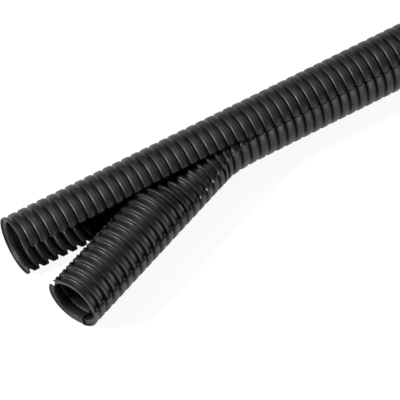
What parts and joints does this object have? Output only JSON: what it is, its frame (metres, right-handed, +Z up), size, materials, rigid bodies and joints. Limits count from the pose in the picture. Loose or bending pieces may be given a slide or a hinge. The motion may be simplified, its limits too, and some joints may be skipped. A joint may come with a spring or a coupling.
{
  "type": "divisible corrugated conduit",
  "caption": "Long round corrugated cable conduit made of two clip-together slit shells, pulled apart at one end so that a cable can be laid in.",
  "frame": {"origin": "centre of the overall box in plan, on the floor the conduit lies on", "axes": "+X along the closed tube, away from the opened end; +Z up; the slit and its raised strip face -Y"},
  "size_m": [0.5, 0.067, 0.0285],
  "materials": {
    "outer_plastic": "satin",
    "inner_plastic": "satin"
  },
  "bodies": {
    "root": {"outer_shell": "outer_plastic", "inner_shell": "inner_plastic"}
  },
  "joints": []
}
